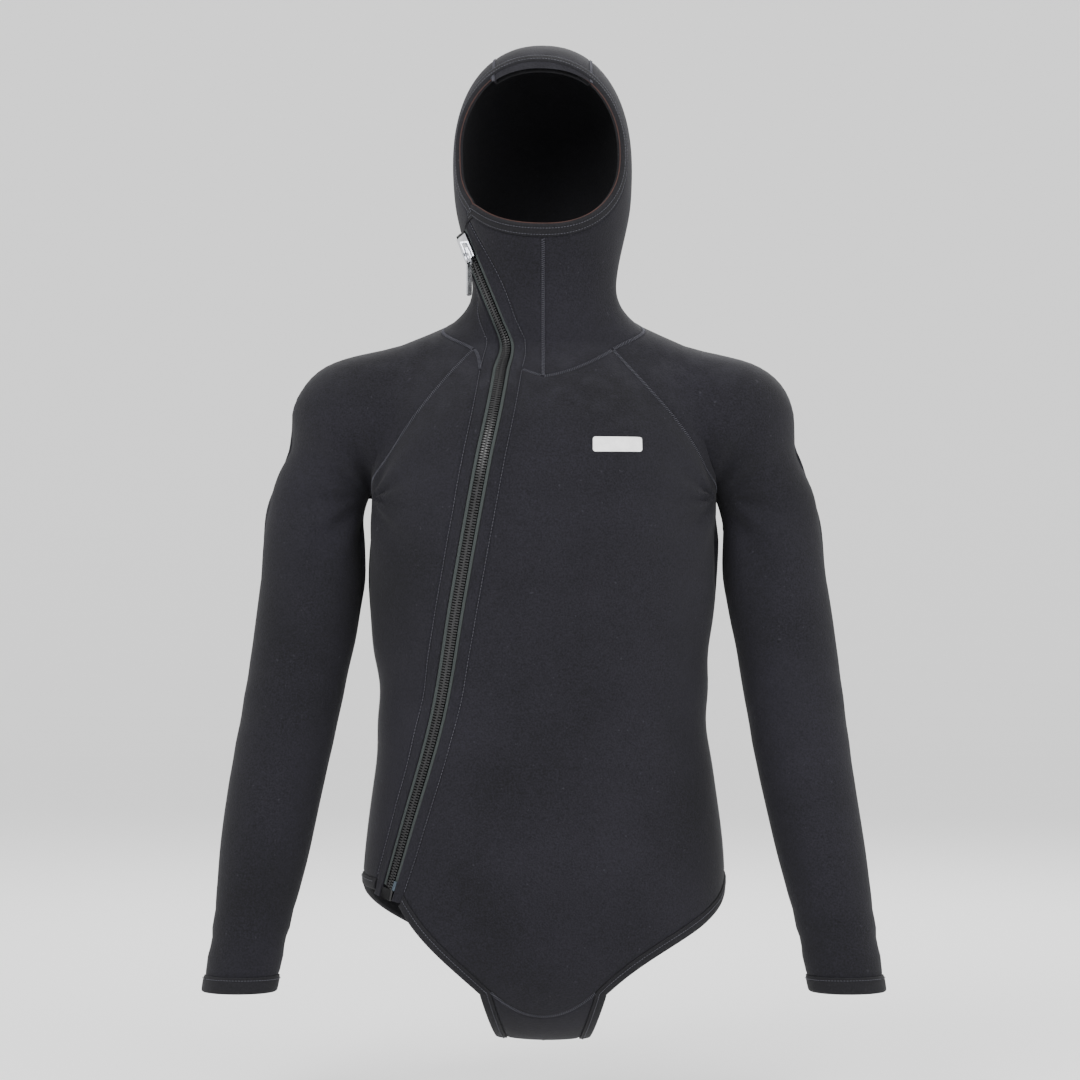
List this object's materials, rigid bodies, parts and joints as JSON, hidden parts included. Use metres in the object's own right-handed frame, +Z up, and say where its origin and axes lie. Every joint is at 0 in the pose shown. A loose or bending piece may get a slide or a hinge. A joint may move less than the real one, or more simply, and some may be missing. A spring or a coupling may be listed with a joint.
{
  "type": "hooded wetsuit jacket",
  "caption": "Hooded neoprene diving jacket with raglan sleeves, a slanted front zip from face opening to leg opening, and a step-in crotch.",
  "frame": {"origin": "centre of the neck at collar height, where the wearer's neck and shoulders hold the jacket up", "axes": "+Z up, -Y is the front, +X is the wearer's left"},
  "size_m": [0.6436, 0.2478, 0.9482],
  "materials": {
    "neoprene_shell": "fine knitted jersey laminated on 5 mm neoprene, matte, charcoal navy",
    "binding_tape": "folded elastic jersey tape, matte black",
    "zip_tape": "woven polyester tape, grey green",
    "zip_teeth": "moulded plastic teeth, glossy black",
    "slider_metal": "polished nickel plate with fine wear",
    "badge_white": "blank white heat-bonded film"
  },
  "bodies": {
    "jacket": {"front_body": "neoprene_shell", "front_side_panel": "neoprene_shell", "back_body": "neoprene_shell", "crotch_gusset": "neoprene_shell", "sleeve_left": "neoprene_shell", "sleeve_right": "neoprene_shell", "hood_chin": "neoprene_shell", "hood_side_left": "neoprene_shell", "hood_side_right": "neoprene_shell", "hood_crown": "neoprene_shell", "zip_band_left": "neoprene_shell", "zip_band_right": "neoprene_shell", "zip_underflap": "neoprene_shell", "face_binding": "binding_tape", "leg_binding_left": "binding_tape", "leg_binding_right": "binding_tape", "cuff_left": "binding_tape", "cuff_right": "binding_tape", "zip_tape_left": "zip_tape", "zip_tape_right": "zip_tape", "zip_teeth_left": "zip_teeth", "zip_teeth_right": "zip_teeth", "top_stop_left": "zip_teeth", "top_stop_right": "zip_teeth", "bottom_box": "zip_teeth", "bottom_pin": "zip_teeth", "chest_badge": "badge_white"},
    "slider": {"slider_body": "slider_metal", "slider_bridge": "slider_metal"},
    "link": {"pull_link": "slider_metal"},
    "pull": {"pull_tab": "slider_metal"}
  },
  "joints": [
    {"name": "slider_slide", "type": "slide", "parent": "jacket", "child": "slider", "axis": [0.3663, -0.2539, -0.8952], "range_m": [0, 0.03]},
    {"name": "link_swing", "type": "hinge", "parent": "slider", "child": "link", "pos_m": [-0.07468, -0.02575, 0.08801], "axis": [-0.5626, 0.7058, -0.4304], "range_deg": [0, 105]},
    {"name": "pull_swing", "type": "hinge", "parent": "link", "child": "pull", "pos_m": [-0.07029, -0.0288, 0.07726], "axis": [-0.6233, 0.782, 0], "range_deg": [0, 80]}
  ]
}
